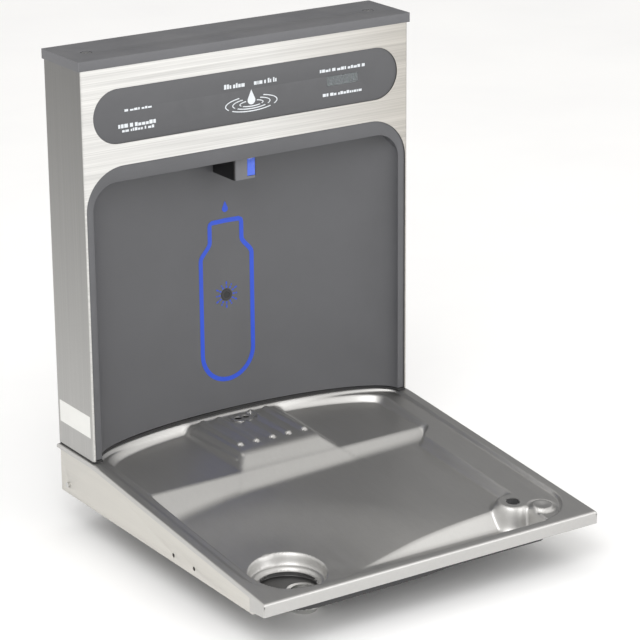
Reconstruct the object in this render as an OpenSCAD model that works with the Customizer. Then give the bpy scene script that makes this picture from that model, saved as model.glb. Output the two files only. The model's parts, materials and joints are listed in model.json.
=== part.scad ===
/* [Tower] */
// Width of the stainless tower
tower_w = 460.4; // [440:0.1:462]
// Depth of the tower, front to back
tower_d = 88; // [84:1:96]
// Height of the stainless sheet, gasket to cap
tower_h = 480.5; // [470:0.5:520]
// Thickness of the folded sheet
sheet = 1.5; // [1:0.1:1.6]
// Outside radius of the sheet's vertical bends
bend_r = 3; // [2:0.5:4]
// Thickness of the top cap
cap_h = 11.5; // [10:0.5:14]
// How far the cap stands past the sheet
cap_lip = 2.5; // [1:0.5:3]

/* [Alcove] */
// Half width of the alcove between its lips
alcove_a = 217.5; // [200:0.5:219]
// Depth of the curved back wall at the middle
alcove_b = 64; // [55:1:64]
// Height of the alcove ceiling above the deck
alcove_top = 344.5; // [320:0.5:350]
// Wall of the moulded liner
liner_t = 2.5; // [2:0.1:3]
// Radius of the opening's top corners in the sheet
open_r = 52; // [40:1:60]

/* [Control panel] */
// Length of the panel with its round ends
panel_l = 428.6; // [400:0.1:430]
// Height of the panel
panel_h = 66; // [60:1:70]
// Height of the panel's centre line above the deck
panel_z = 423.5; // [420:0.5:426]
// Width of the counter window
window_w = 45.8; // [40:0.1:60]
// Height of the counter window
window_h = 12.4; // [10:0.1:16]

/* [Basin] */
// Width over the rolled rim
rim_w = 467; // [467:1:480]
// Depth from the wall to the front edge
rim_d = 474; // [470:1:490]
// Fall of the rim in front of the tower, in degrees
slope_a = 5.59; // [5:0.01:6]
// Thickness of the stamped sheet
pan_t = 1.5; // [1:0.1:1.6]
// Height of the front apron
apron_h = 15.5; // [14:0.5:18]
// Depth of the stamped border below the rim
border_drop = 4; // [3:0.5:5]
// Radius of the bubbler hole
bubbler_r = 9; // [8:0.5:10]
// Radius of the drain seat at the floor
drain_r = 45; // [42:1:46]
// Lowest level of the side skirts below the deck
skirt_drop = 60.5; // [58:0.5:62]

/* [Water way] */
// Outside radius of the plastic water tube
tube_r = 3.17; // [3.1:0.01:3.2]
// Outside radius of the supply tube that the inlet takes
supply_r = 4.76; // [4.7:0.01:4.8]
// Travel of the solenoid plunger
plunger_travel = 2.4; // [2:0.1:3]
// Travel of a release collet
collet_travel = 1.5; // [1:0.1:1.6]

/* [Hidden] */
$fn = 64;
eps = 0.01;
gasket_t = 2.5;
y_wall = tower_d;
y_front = tower_d - rim_d;
lowest = 108;
tower_base = gasket_t;
tower_top = tower_base + tower_h;
rim_fall = tan(slope_a);
inner_x = tower_w / 2 - sheet;
panel_r = panel_h / 2;
panel_half = panel_l / 2 - panel_r;
liner_y = sheet + 0.1;
lip_r = 33;
cap_screw_x = 198.4;
cap_screw_y = 40;
stud_y = [36, 74];
sensor_z = 154.5;
nozzle_y = 30;

steel = "silver";
dark = "dimgray";
shadow = [0.2, 0.2, 0.22];
blue = [0.15, 0.3, 0.8];

// ---- placing and shared shapes -------------------------------------------------

// The working frame has y = 0 on the tower's front face and z = 0 on the deck.
module placed() {
    translate([0, rim_d / 2 - tower_d, lowest]) children();
}

// A rod along +Z from a point.
module rod(x, y, z, r, h) {
    translate([x, y, z]) cylinder(r = r, h = h);
}

// A rod along +Y from a point, towards the back wall.
module rod_y(x, y, z, r, h) {
    translate([x, y, z]) rotate([-90, 0, 0]) cylinder(r = r, h = h);
}

// A rod along +X from a point.
module rod_x(x, y, z, r, h) {
    translate([x, y, z]) rotate([0, 90, 0]) cylinder(r = r, h = h);
}

// A box from one corner, given its size.
module block(x, y, z, w, d, h) {
    translate([x, y, z]) cube([w, d, h]);
}

// A rectangle with round corners, about its centre.
module round_rect(w, h, r) {
    square([w - 2 * r, h], center = true);
    square([w, h - 2 * r], center = true);
    for (sx = [-1, 1], sy = [-1, 1])
        translate([sx * (w / 2 - r), sy * (h / 2 - r)]) circle(r = r);
}

// A bar with fully round ends, about its centre.
module stadium(half, r) {
    square([2 * half, 2 * r], center = true);
    for (s = [-1, 1]) translate([s * half, 0]) circle(r = r);
}

// A flat shape drawn in x and z, given thickness towards the back wall.
module standing(y, t) {
    translate([0, y + t, 0]) rotate([90, 0, 0]) linear_extrude(t) children();
}

// The half ellipse that the alcove's back wall follows.
module alcove_plan(a, b, front = 0) {
    steps = 36;
    polygon(concat(
        [for (i = [0:steps]) [a * cos(180 * i / steps), b * sin(180 * i / steps)]],
        [[-a, front], [a, front]]
    ));
}

// A flat lead with square turns, as its harness clips hold it.
module lead(points, r) {
    for (i = [0:len(points) - 2]) {
        a = points[i];
        b = points[i + 1];
        low = [for (k = [0:2]) min(a[k], b[k]) - r];
        size = [for (k = [0:2]) abs(a[k] - b[k]) + 2 * r];
        translate(low) cube(size);
    }
}

// A quarter bend of tube from +Z round to +X, its bend radius b.
module elbow(r, b) {
    translate([b, 0, 0]) rotate([90, 0, 0]) rotate([0, 0, 90])
        rotate_extrude(angle = 90) translate([b, 0]) circle(r = r);
}

// ---- tower ---------------------------------------------------------------------

// The alcove opening in the sheet: full width below, round corners above.
module opening_outline() {
    half = tower_w / 2 - bend_r - 0.2;
    top = 364;
    translate([-half, -20]) square([2 * half, top - open_r + 20]);
    translate([-half + open_r, 0]) square([2 * (half - open_r), top]);
    for (s = [-1, 1]) translate([s * (half - open_r), top - open_r]) circle(r = open_r);
}

// The liner's inner edge, a little inside the sheet's opening.
module lip_outline(g) {
    r = lip_r + g;
    x = alcove_a + g;
    z = alcove_top + g;
    translate([-x, -20]) square([2 * x, z - r + 20]);
    translate([-x + r, 0]) square([2 * (x - r), z]);
    for (s = [-1, 1]) translate([s * (x - r), z - r]) circle(r = r);
}

module shell_plan(inset) {
    r = bend_r - inset;
    translate([0, tower_d / 2]) round_rect(tower_w - 2 * inset, tower_d - 2 * inset, r);
}

module tower_shell() {
    return_w = 14;
    color(steel) placed() difference() {
        translate([0, 0, tower_base]) linear_extrude(tower_h) difference() {
            shell_plan(0);
            shell_plan(sheet);
            translate([-tower_w / 2 + return_w, tower_d - 3]) square([tower_w - 2 * return_w, 6]);
        }
        standing(-5, 5 + sheet + bend_r) opening_outline();
        standing(-5, 10) translate([0, panel_z]) stadium(panel_half, panel_r);
    }
    color(steel) placed() for (s = [-1, 1]) difference() {
        block(s > 0 ? 184 : -tower_w / 2 + sheet / 2, 26, tower_top - sheet, tower_w / 2 - sheet / 2 - 184, 28, sheet);
        rod(s * cap_screw_x, cap_screw_y, tower_top - 10, 2.05, 20);
    }
}

module back_plate() {
    t = sheet;
    color("lightgray") placed() difference() {
        block(-inner_x + 1, tower_d - 2 * t - 0.1, tower_base, 2 * inner_x - 2, t, tower_h);
        for (sx = [-1, 1], z = [90, 390]) rod_y(sx * 150, tower_d - 9, z, 3.5, 20);
        for (x = [-60, 60]) rod_y(x, tower_d - 9, 455, 11, 20);
    }
}

module top_cap() {
    w = tower_w + 2 * cap_lip;
    d = tower_d + cap_lip;
    wall = 3;
    color(dark) placed() translate([0, 0, tower_top]) difference() {
        translate([0, tower_d - d / 2, 0]) linear_extrude(cap_h) round_rect(w, d, 2);
        block(-w / 2 + 2 * wall, wall, -1, w - 4 * wall, tower_d - 2 * wall, cap_h - wall + 1);
        for (s = [-1, 1]) {
            rod(s * cap_screw_x, cap_screw_y, cap_h - 2, 7.2, 5);
            rod(s * cap_screw_x, cap_screw_y, -1, 2.3, 20);
        }
    }
}

module cap_screws() {
    color(shadow) placed() for (s = [-1, 1]) translate([s * cap_screw_x, cap_screw_y, tower_top]) {
        difference() {
            rod(0, 0, cap_h - 2, 6, 1.4);
            rod(0, 0, cap_h - 1.6, 1.8, 3);
        }
        rod(0, 0, -10, 2, cap_h + 8);
    }
}

// The alcove's hollow, let out by g: an upright half ellipse under a rounded arch.
module alcove_space(g) {
    intersection() {
        translate([0, 0, -10]) linear_extrude(400) alcove_plan(alcove_a + g, alcove_b + g, -5);
        standing(-6, 80) lip_outline(g);
    }
}

module alcove_liner() {
    color(dark) placed() difference() {
        union() {
            difference() {
                alcove_space(liner_t);
                block(-300, -10, -20, 600, 10 + liner_y, 500);
                block(-300, -10, -20, 600, 100, 20 + tower_base + 1);
            }
            block(-inner_x + 1.8, liner_y, tower_base + 1, 2 * inner_x - 3.6, liner_t, 372);
        }
        alcove_space(0);
        rod_y(0, 50, sensor_z, 7.6, 30);
        rod(0, nozzle_y, alcove_top - 5, 6.3, 20);
        rod(-9.4, 46.8, alcove_top - 5, 3, 20);
    }
}

clip_points = [[-200, 300], [200, 300], [-200, 60], [200, 60]];

module liner_clips() {
    color("gray") placed() for (p = clip_points) {
        side = sign(p[0]);
        block(side > 0 ? inner_x - 9 : -inner_x, liner_y + liner_t + 0.05, p[1], 9, 1.2, 14);
        block(side > 0 ? inner_x - 1.2 : -inner_x, liner_y + liner_t + 1.25, p[1], 1.2, 14, 14);
    }
}

module base_gasket() {
    w = 9;
    band = 3.5;
    color(shadow) placed() linear_extrude(gasket_t) intersection() {
        shell_plan(0.6);
        difference() {
            union() {
                difference() {
                    square([600, 600], center = true);
                    translate([0, tower_d / 2 + 4]) square([tower_w - 2 * w, tower_d - 2 * w + 8], center = true);
                }
                translate([0, tower_d - w / 2]) square([tower_w, w], center = true);
                alcove_plan(alcove_a + band, alcove_b + band);
            }
            alcove_plan(alcove_a - 0.5, alcove_b - 0.5, -5);
        }
    }
}

module data_label() {
    color("white") placed() block(-tower_w / 2 - 0.25, 5, 31.5, 0.25, 76, 27.5);
}

// ---- control panel -------------------------------------------------------------

bezel_y = 1;
bezel_t = 3;
window_x = 133.5;
stud_x = [-190, -70, 70, 190];

module control_bezel() {
    flange = 7;
    color(dark) placed() difference() {
        union() {
            standing(bezel_y, bezel_t) translate([0, panel_z]) stadium(panel_half, panel_r - 0.2);
            standing(sheet + 0.1, bezel_t - 0.6) translate([0, panel_z]) stadium(panel_half, panel_r + flange);
            for (x = stud_x, s = [-1, 1]) rod_y(x, 3, panel_z + s * 24, 1.9, 9);
        }
        standing(-5, 20) translate([window_x, panel_z]) square([window_w, window_h], center = true);
    }
}

module bezel_nuts() {
    y = bezel_y + bezel_t + 0.1;
    color("gray") placed() for (x = stud_x, s = [-1, 1])
        translate([x, y, panel_z + s * 24]) rotate([-90, 0, 0]) difference() {
            cylinder(r = 4, h = 3, $fn = 6);
            translate([0, 0, -1]) cylinder(r = 1.95, h = 5);
        }
}

// A falling drop, point up, about the centre of its round part.
module drop(r) {
    circle(r = r);
    polygon([[-r * cos(25), r * sin(25)], [0, 2.4 * r], [r * cos(25), r * sin(25)]]);
}

// Plain marks that stand where a maker's lettering would be.
module panel_icons() {
    color("gainsboro") placed() standing(bezel_y - 0.15, 0.15) translate([0, panel_z]) {
        for (i = [0:2]) translate([-155 + 12 * i, 8]) circle(r = 2.2);
        for (i = [0:1]) translate([-155.5, -14 - 6 * i]) square([52 - 14 * i, 2.6], center = true);
        translate([2, -4]) drop(6);
        for (i = [0:2]) translate([2, -14 - 4 * i]) square([74 - 12 * i, 1.4], center = true);
        for (s = [-1, 1]) translate([2 + s * 28, 10]) square([18, 2], center = true);
        translate([window_x, 13.5]) square([66, 2], center = true);
        translate([window_x, -17]) square([58, 2], center = true);
    }
}

module display_window() {
    color([0.3, 0.32, 0.34]) placed()
        standing(bezel_y + 0.3, 1.8) translate([window_x, panel_z])
            square([window_w - 0.3, window_h - 0.3], center = true);
}

module display_board() {
    color("darkgreen") placed() {
        standing(9.2, 1.6) translate([window_x, panel_z]) square([96, 40], center = true);
        standing(5.4, 3.8) translate([window_x, panel_z]) square([window_w + 4, window_h + 4], center = true);
    }
}

// Five plain seven-bar figures behind the counter window.
module display_digits() {
    w = 4.2;
    h = 8;
    bar = 0.7;
    color([0.75, 0.8, 0.85]) placed() standing(3.4, 1.9) for (i = [0:4])
        translate([window_x + (i - 2) * 7.4, panel_z]) {
            for (k = [-1, 0, 1]) translate([0, k * h / 2]) square([w - 1.6, bar], center = true);
            for (sx = [-1, 1], sz = [-1, 1])
                if (i < 3 || sx > 0)
                    translate([sx * w / 2, sz * h / 4]) square([bar, h / 2 - 1], center = true);
        }
}

// ---- bottle filler -------------------------------------------------------------

hood_w = 32;
hood_front = 13.4;
hood_base = 315.5;

module hood_plan(inset) {
    w = hood_w - 2 * inset;
    translate([-w / 2, hood_front + 4]) square([w, 46 - inset]);
    translate([-w / 2 + 4 - inset, hood_front + inset]) square([w - 8 + 2 * inset, 10]);
    for (s = [-1, 1]) translate([s * (hood_w / 2 - 4), hood_front + 4]) circle(r = 4 - inset);
}

module nozzle_hood() {
    wall = 2.2;
    gap = 0.1;
    color(dark) placed() difference() {
        translate([0, 0, hood_base]) linear_extrude(alcove_top - hood_base - gap) hood_plan(0);
        translate([0, 0, hood_base + wall]) linear_extrude(60) hood_plan(wall);
        rod(0, nozzle_y, hood_base - 5, 8.5, 20);
        block(2.2, hood_front - 5, hood_base + 3.2, 11.6, 10, 24);
    }
}

module hood_lens() {
    color(blue) placed() {
        block(2.4, hood_front + 0.2, hood_base + 3.4, 11.2, 1.8, 23.6);
        block(3.4, hood_front + 2, hood_base + 4.4, 9.2, 1.2, 21.6);
    }
}

module light_board() {
    color("darkgreen") placed() {
        block(-12, hood_front + 5, hood_base + 4, 25.4, 1.2, 20);
        block(-11, hood_front + 6.2, hood_base + 15, 5, 1.6, 7);
        block(6, hood_front + 3.6, hood_base + 12, 3.5, 1.4, 3.5);
    }
}

module fill_nozzle() {
    low = hood_base + 4;
    collar = alcove_top - 5.75;
    top = alcove_top + 25;
    color("goldenrod") placed() difference() {
        union() {
            rod(0, nozzle_y, low, 7.5, 12);
            rod(0, nozzle_y, collar, 9.5, 4);
            rod(0, nozzle_y, low + 10, 6, top - low - 10);
        }
        rod(0, nozzle_y, low - 1, 6.5, 9);
        rod(0, nozzle_y, low + 7, 2.4, 60);
        rod(0, nozzle_y, top - 8, tube_r + 0.05, 20);
    }
}

module nozzle_gasket() {
    color(shadow) placed() difference() {
        rod(0, nozzle_y, alcove_top - 1.7, 9.2, 1.6);
        rod(0, nozzle_y, alcove_top - 5, 6.05, 10);
    }
}

module nozzle_nut() {
    color("goldenrod") placed() difference() {
        translate([0, nozzle_y, alcove_top + liner_t + 0.1]) cylinder(r = 13, h = 5, $fn = 6);
        rod(0, nozzle_y, alcove_top, 6.05, 20);
    }
}

module aerator() {
    color("lightgray") placed() difference() {
        rod(0, nozzle_y, hood_base + 4.2, 6.4, 6.5);
        for (a = [0:45:315])
            rod(4 * cos(a), nozzle_y + 4 * sin(a), hood_base, 0.7, 20);
        rod(0, nozzle_y, hood_base, 0.9, 20);
    }
}

module sensor_body() {
    color(shadow) placed() difference() {
        union() {
            rod_y(0, alcove_b - 0.8, sensor_z, 7.5, 15);
            rod_y(0, alcove_b + 14.2, sensor_z, 5, 5);
        }
        rod_y(0, alcove_b - 2, sensor_z, 4.6, 5);
    }
}

module sensor_lens() {
    color("black") placed() rod_y(0, alcove_b - 0.6, sensor_z, 4.5, 3.5);
}

module sensor_nut() {
    color("gray") placed() difference() {
        translate([0, alcove_b + liner_t + 0.1, sensor_z]) rotate([-90, 0, 0]) cylinder(r = 12, h = 4, $fn = 6);
        rod_y(0, alcove_b - 5, sensor_z, 7.55, 30);
    }
}

// Half of the bottle's outline, as widths at heights, bottom first.
bottle_half = [[22, 43], [32, 48], [35, 60], [37, 152], [37, 208], [31, 218], [22, 227], [21, 250], [24, 253]];

// The closed outline, let out by g.
module bottle_shape(g) {
    last = len(bottle_half) - 1;
    polygon(concat(
        [for (i = [0:last]) [bottle_half[i][0] + g, bottle_half[i][1] + (i == 0 ? -g : i == last ? g : 0)]],
        [for (i = [last:-1:0]) [-bottle_half[i][0] - g, bottle_half[i][1] + (i == 0 ? -g : i == last ? g : 0)]]
    ));
}

module bottle_graphic() {
    film = 0.2;
    color(blue) placed() intersection() {
        standing(40, 40) union() {
            difference() {
                bottle_shape(2.8);
                bottle_shape(-2.8);
            }
            translate([0, 266]) drop(4.2);
            for (a = [0:30:330])
                translate([0, sensor_z]) rotate(a) translate([9, -1.1]) square([a % 60 == 0 ? 12 : 8, 2.2]);
        }
        translate([0, 0, 20]) linear_extrude(300) difference() {
            alcove_plan(alcove_a, alcove_b);
            alcove_plan(alcove_a - film, alcove_b - film, -5);
        }
    }
}

// ---- water way inside the tower ------------------------------------------------

valve = [96, nozzle_y, 384];

module valve_body() {
    color("white") placed() translate(valve) difference() {
        union() {
            block(-17, -15, -13, 34, 30, 26);
            rod(0, 0, 12, 14, 8);
            rod_x(-35, 0, -2, 7, 70);
        }
        rod_x(-36, 0, -2, 2.5, 37.5);
        rod_x(3.4, 0, -2, 2.5, 40);
        rod_x(-36, 0, -2, tube_r + 0.05, 14);
        rod_x(22, 0, -2, 5.2, 20);
        rod(0, 0, 1, 5.6, 30);
        rod(0, 0, -2, 1.5, 6);
        rod(4.4, 0, -2, 1, 6);
    }
}

module valve_collet() {
    color("gray") placed() translate(valve) difference() {
        union() {
            rod_x(24, 0, -2, 5.14, 11.2);
            rod_x(36.7, 0, -2, 6.5, 2);
            rod_x(35.1, 0, -2, 4.6, 1.7);
        }
        rod_x(20, 0, -2, tube_r + 0.05, 30);
    }
}

module valve_guide_tube() {
    color(steel) placed() translate(valve) difference() {
        rod(0, 0, 4.2, 5.5, 40);
        rod(0, 0, 3, 4.55, 39);
    }
}

module valve_plunger() {
    color("darkgray") placed() translate(valve) {
        rod(0, 0, 4.6, 4.5, 18);
        rod(0, 0, 1.2, 2.2, 3.4);
    }
}

// The plunger's return spring, as closed turns between it and the tube's end.
module valve_spring() {
    wire = 0.55;
    low = 22.65 + wire;
    high = 41.95 - wire;
    turns = 6;
    color(steel) placed() translate(valve) for (i = [0:turns - 1])
        translate([0, 0, low + i * (high - low) / (turns - 1)])
            rotate_extrude() translate([3.2, 0]) circle(r = wire, $fn = 16);
}

module valve_coil() {
    color("black") placed() translate(valve) difference() {
        union() {
            rod(0, 0, 20.2, 17, 22);
            block(-7, 13, 24, 14, 14, 12);
        }
        rod(0, 0, 10, 5.55, 40);
    }
}

module valve_bracket() {
    color("lightgray") placed() translate(valve) {
        block(-22, 16, -14.6, 44, 1.5, 30);
        block(-22, -14, -14.6, 44, 31, 1.5);
        for (s = [-1, 1]) rod_y(s * 18, 17, 4, 3, tower_d - 3.2 - valve[1] - 17);
    }
}

regulator = [36, nozzle_y, valve[2] - 2];

module flow_regulator() {
    color("white") placed() translate(regulator) difference() {
        union() {
            rod_x(-16, 0, 0, 9, 32);
            rod(0, 0, 0, 7, 20);
        }
        rod_x(-17, 0, 0, 2.5, 40);
        rod_x(-17, 0, 0, tube_r + 0.05, 10);
        rod_x(8, 0, 0, tube_r + 0.05, 10);
        rod(0, 0, 6, 3.05, 20);
    }
}

module regulator_screw() {
    color("goldenrod") placed() translate(regulator) difference() {
        union() {
            rod(0, 0, 7, 3, 14);
            rod(0, 0, 20.4, 5, 2.4);
        }
        block(-6, -0.6, 21.6, 12, 1.2, 3);
    }
}

inlet = [190, 58];

module inlet_union() {
    color("white") placed() difference() {
        union() {
            rod(inlet[0], inlet[1], -26, 10, 54);
            rod(inlet[0], inlet[1], gasket_t + 0.1, 14, 4);
        }
        rod(inlet[0], inlet[1], -30, 7, 15);
        rod(inlet[0], inlet[1], -20, supply_r + 0.08, 12);
        rod(inlet[0], inlet[1], -20, 2.6, 60);
        rod(inlet[0], inlet[1], 14, tube_r + 0.05, 20);
    }
}

module inlet_collet() {
    color("gray") placed() difference() {
        union() {
            rod(inlet[0], inlet[1], -26.4, 6.94, 10);
            rod(inlet[0], inlet[1], -30, 9, 2.1);
            rod(inlet[0], inlet[1], -28, 6.4, 2);
        }
        rod(inlet[0], inlet[1], -40, supply_r + 0.08, 40);
    }
}

module union_nut() {
    color("gray") placed() difference() {
        translate([inlet[0], inlet[1], -7.2]) cylinder(r = 17, h = 5.4, $fn = 6);
        rod(inlet[0], inlet[1], -20, 10.05, 30);
    }
}

bend = 12;

module inlet_tube() {
    z = regulator[2];
    start = 14.1;
    color(blue) placed() {
        rod(inlet[0], inlet[1], start, tube_r, z - bend - start);
        translate([inlet[0], inlet[1], z - bend]) rotate([0, 0, -90]) elbow(tube_r, bend);
        rod_y(inlet[0], nozzle_y + bend, z, tube_r, inlet[1] - nozzle_y - 2 * bend);
        translate([inlet[0], nozzle_y + bend, z]) rotate([90, 0, 0]) rotate([0, 0, 180]) elbow(tube_r, bend);
        rod_x(valve[0] + 24, nozzle_y, z, tube_r, inlet[0] - bend - valve[0] - 24);
    }
}

module link_tube() {
    from = regulator[0] + 8.1;
    color(blue) placed() rod_x(from, nozzle_y, regulator[2], tube_r, valve[0] - 22.1 - from);
}

module outlet_tube() {
    z = regulator[2];
    low = alcove_top + 17.1;
    color(blue) placed() {
        rod_x(bend, nozzle_y, z, tube_r, regulator[0] - 7.1 - bend);
        translate([0, nozzle_y, z - bend]) elbow(tube_r, bend);
        rod(0, nozzle_y, low, tube_r, z - bend - low);
    }
}

// ---- electrics -----------------------------------------------------------------

box_at = [-160, 34, 376];
box_size = [104, 48, 84];

module control_box() {
    wall = 2.5;
    color("gray") placed() translate(box_at) difference() {
        cube(box_size);
        block(wall, -1, wall, box_size[0] - 2 * wall, box_size[1] - wall + 1, box_size[2] - 2 * wall);
        block(box_size[0] - 5, 12, 14, 10, 24, 12);
        rod(52, 24, -1, 4, 6);
    }
}

module control_lid() {
    color("darkgray") placed() translate(box_at) {
        block(0, -2.1, 0, box_size[0], 2, box_size[2]);
        difference() {
            block(2.7, -0.1, 2.7, box_size[0] - 5.4, 4, box_size[2] - 5.4);
            block(5, -1, 5, box_size[0] - 10, 8, box_size[2] - 10);
        }
    }
}

module control_board() {
    color("darkgreen") placed() translate(box_at) {
        block(6, 36, 6, box_size[0] - 12, 1.6, box_size[2] - 12);
        for (sx = [10, box_size[0] - 10], sz = [10, box_size[2] - 10]) rod_y(sx, 37.6, sz, 2.5, 7.8);
        block(20, 30, 50, 22, 6, 14);
        block(60, 24, 14, 16, 12, 24);
        rod_y(30, 24, 24, 7, 12);
    }
}

module power_supply() {
    color("dimgray") placed() {
        block(-222, 30, 380, 44, 46, 60);
        for (z = [376, 440]) block(-226, 76, z, 52, 2, 8);
    }
}

module wiring_harness() {
    r = 1.6;
    color("black") placed() {
        lead([[-176.2, 58, 400], [-168, 58, 400], [-168, 58, 370], [-108, 58, 370], [-108, 58, 378]], r);
        lead([[-60, 58, 396], [-48, 58, 396], [-48, 58, 414], [-48, 66, 414], [96, 66, 414], [96, 58.8, 414]], r);
        lead([[-60, 50, 399], [-50, 50, 399], [-50, 14, 399], [120, 14, 399], [120, 14, 410], [120, 12.6, 410]], r);
        lead([[-60, 66, 396], [-44, 66, 396], [-44, 80, 396], [-44, 80, 200], [0, 80, 200], [0, 80, 161.4]], r);
        lead([[-60, 62, 396], [-52, 62, 396], [-52, 62, 372], [-9.4, 62, 372]], r);
        lead([[-9.4, 62, 372], [-9.4, 47, 372], [-9.4, 47, 334], [-9.4, 22.9, 334]], r);
    }
}

// ---- basin ---------------------------------------------------------------------

// Everything above the plane z = z0 + b x + c y.
module above(z0, b, c) {
    n = norm([b, c, 1]);
    translate([0, 0, z0]) rotate([asin(c / n), -atan(b), 0]) translate([-600, -600, 0]) cube([1200, 1200, 300]);
}

border_x = 219;
border_y = y_front + 15;
ledge_left = 204;
ledge_back = 195;
ledge_front = 173;
jog_y = -100;
boss = [165, -311];
boss_r = 18.3;
pad = [188, -339];
pad_r = 13;
corner_r = 54;
drain = [-133, -277];
floor_min = -67.5;
channel_z = -64;
wall_y = -303;
shelf_z = -14.1;
shelf_c = 0.0404;
ramp_c = 0.649;
ramp_z = 36.8;
platform_z = -2;
platform_x = -2;
strainer = [2, 36];
strainer_r = 14.5;

// Plan of the shallow border: straight sides, round front corners, curved back.
module border_plan(g) {
    x = border_x + g;
    y = border_y - g;
    r = corner_r;
    translate([-x, y + r]) square([2 * x, -y - r + 0.01]);
    translate([-x + r, y]) square([2 * (x - r), r + 1]);
    for (s = [-1, 1]) translate([s * (x - r), y + r]) circle(r = r);
    alcove_plan(x, 56 + g);
}

// Plan of the deep part behind the ledge and the bubbler boss.
module bowl_plan(g) {
    left = -ledge_left - g;
    translate([left, jog_y]) square([ledge_back + g - left, -jog_y + 0.01]);
    translate([left, border_y - g + corner_r]) square([ledge_front + g - left, jog_y - border_y + g - corner_r]);
    translate([left + corner_r, border_y - g]) square([170 + g - left - corner_r, corner_r + 1]);
    translate([left + corner_r, border_y - g + corner_r]) circle(r = corner_r);
    translate([(ledge_back - ledge_left) / 2, 0]) alcove_plan((ledge_back + ledge_left) / 2 + g, 54 + g);
}

// The bottle platform that stands up from the shelf, lowered by g.
module platform(g) {
    side = 0.75;
    half = 57;
    difference() {
        translate([-100, -120, -60]) cube([200, 180, 60 + platform_z - g]);
        above(ramp_z - 1.2 * g, 0, ramp_c);
        translate([platform_x, 0, 0]) {
            above(platform_z + side * half - 1.25 * g, side, side * 0.07);
            above(platform_z + side * half - 1.25 * g, -side, side * 0.07);
        }
    }
}

// The space inside the stamping, let down and out by g, g = 0 for its upper face.
module pan_space(g) {
    lift = 1.05 * g;
    difference() {
        union() {
            intersection() {
                translate([0, 0, -120]) linear_extrude(200) border_plan(g);
                above(-border_drop - lift, 0, rim_fall);
                translate([-300, -600, -200]) cube([600, 600 + eps, 400]);
            }
            intersection() {
                translate([0, 0, -120]) linear_extrude(200) border_plan(g);
                above(-border_drop - lift, 0, 0);
                translate([-300, 0, -200]) cube([600, 400, 400]);
            }
            intersection() {
                translate([0, 0, -120]) linear_extrude(200) bowl_plan(g);
                union() {
                    above(shelf_z - lift, 0, shelf_c);
                    intersection() {
                        above(ramp_z - 1.2 * g, 0, ramp_c);
                        union() {
                            above(-23.4 - lift, 0.022, 0.081);
                            intersection() {
                                above(16.8 - lift, 0.1446, 0.2314);
                                above(floor_min - lift, 0, 0);
                            }
                            intersection() {
                                above(312.7 - 1.55 * g, 0.022, 1.19);
                                above(channel_z - lift, 0, 0);
                            }
                        }
                    }
                }
            }
            intersection() {
                difference() {
                    rod(pad[0], pad[1], -100, pad_r + 4.5 + g, 120);
                    rod(pad[0], pad[1], -101, pad_r - g, 122);
                }
                above(-border_drop - 5 - lift, 0, rim_fall);
            }
            rod(drain[0], drain[1], floor_min - 9.9 - g, 36 + g, 20);
            translate([drain[0], drain[1], floor_min - 9.9 + eps]) cylinder(r1 = 36 + g, r2 = drain_r + g, h = 10 + g);
        }
        platform(g);
        difference() {
            rod(boss[0], boss[1], -100, boss_r - g, 120);
            above(-border_drop - lift, 0, rim_fall);
        }
        difference() {
            rod(pad[0], pad[1], -100, pad_r - g, 120);
            above(-border_drop - lift, 0, rim_fall);
        }
    }
}

module rib(x, y0, y1) {
    r = 6;
    sink = 4;
    translate([x, 0, platform_z - sink]) {
        rod_y(0, y0, 0, r, y1 - y0);
        for (y = [y0, y1]) translate([0, y, 0]) sphere(r = r);
    }
}

module rim_plate() {
    half = rim_w / 2;
    difference() {
        union() {
            block(-half, 0, -pan_t - 3.5, rim_w, y_wall, pan_t + 3.5);
            rotate([slope_a, 0, 0]) block(-half, y_front / cos(slope_a), -pan_t - 3.5, rim_w, -y_front / cos(slope_a), pan_t + 3.5);
        }
        difference() {
            block(-half + pan_t, y_front + pan_t, -100, rim_w - 2 * pan_t, rim_d - 2 * pan_t, 100);
            above(-pan_t, 0, rim_fall);
            above(-pan_t, 0, 0);
        }
    }
}

module front_apron() {
    z = y_front * rim_fall;
    difference() {
        block(-rim_w / 2, y_front, z - apron_h, rim_w, pan_t, apron_h + 3);
        above(-0.5, 0, rim_fall);
        for (s = [-1, 1]) rod_y(s * 223.5, y_front - 5, z - 7, 1.6, 20);
    }
}

module basin() {
    color(steel) placed() difference() {
        union() {
            rim_plate();
            front_apron();
            intersection() {
                pan_space(pan_t);
                difference() {
                    block(-rim_w / 2, y_front, -120, rim_w, rim_d, 120);
                    above(-eps, 0, rim_fall);
                }
            }
            for (i = [-2:2]) difference() {
                rib(platform_x + 23.3 * i, -40, 46);
                block(-200, -120, -40, 400, 240, 38 + platform_z + 0.5);
                rod(strainer[0], strainer[1], -20, strainer_r + 4, 40);
            }
        }
        pan_space_over();
        boss_bore();
        rod(drain[0], drain[1], -100, 35.5, 60);
        rod(strainer[0], strainer[1], -30, strainer_r - 1.5, 60);
        rod(inlet[0], inlet[1], -20, 10.6, 40);
        for (x = [-215, 215], y = stud_y) rod(x, y, -20, 2.6, 40);
    }
}

// The bubbler's hole, square to the sloping top of the boss.
module boss_bore() {
    translate([boss[0], boss[1], boss[1] * rim_fall - border_drop]) rotate([slope_a, 0, 0])
        translate([0, 0, -12]) cylinder(r = bubbler_r, h = 24);
}

// The upper space, kept clear of the ribs that stand on the platform.
module pan_space_over() {
    difference() {
        pan_space(0);
        for (i = [-2:2]) difference() {
            rib(platform_x + 23.3 * i, -40, 46);
            rod(strainer[0], strainer[1], -20, strainer_r + 4, 40);
        }
    }
}

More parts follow.
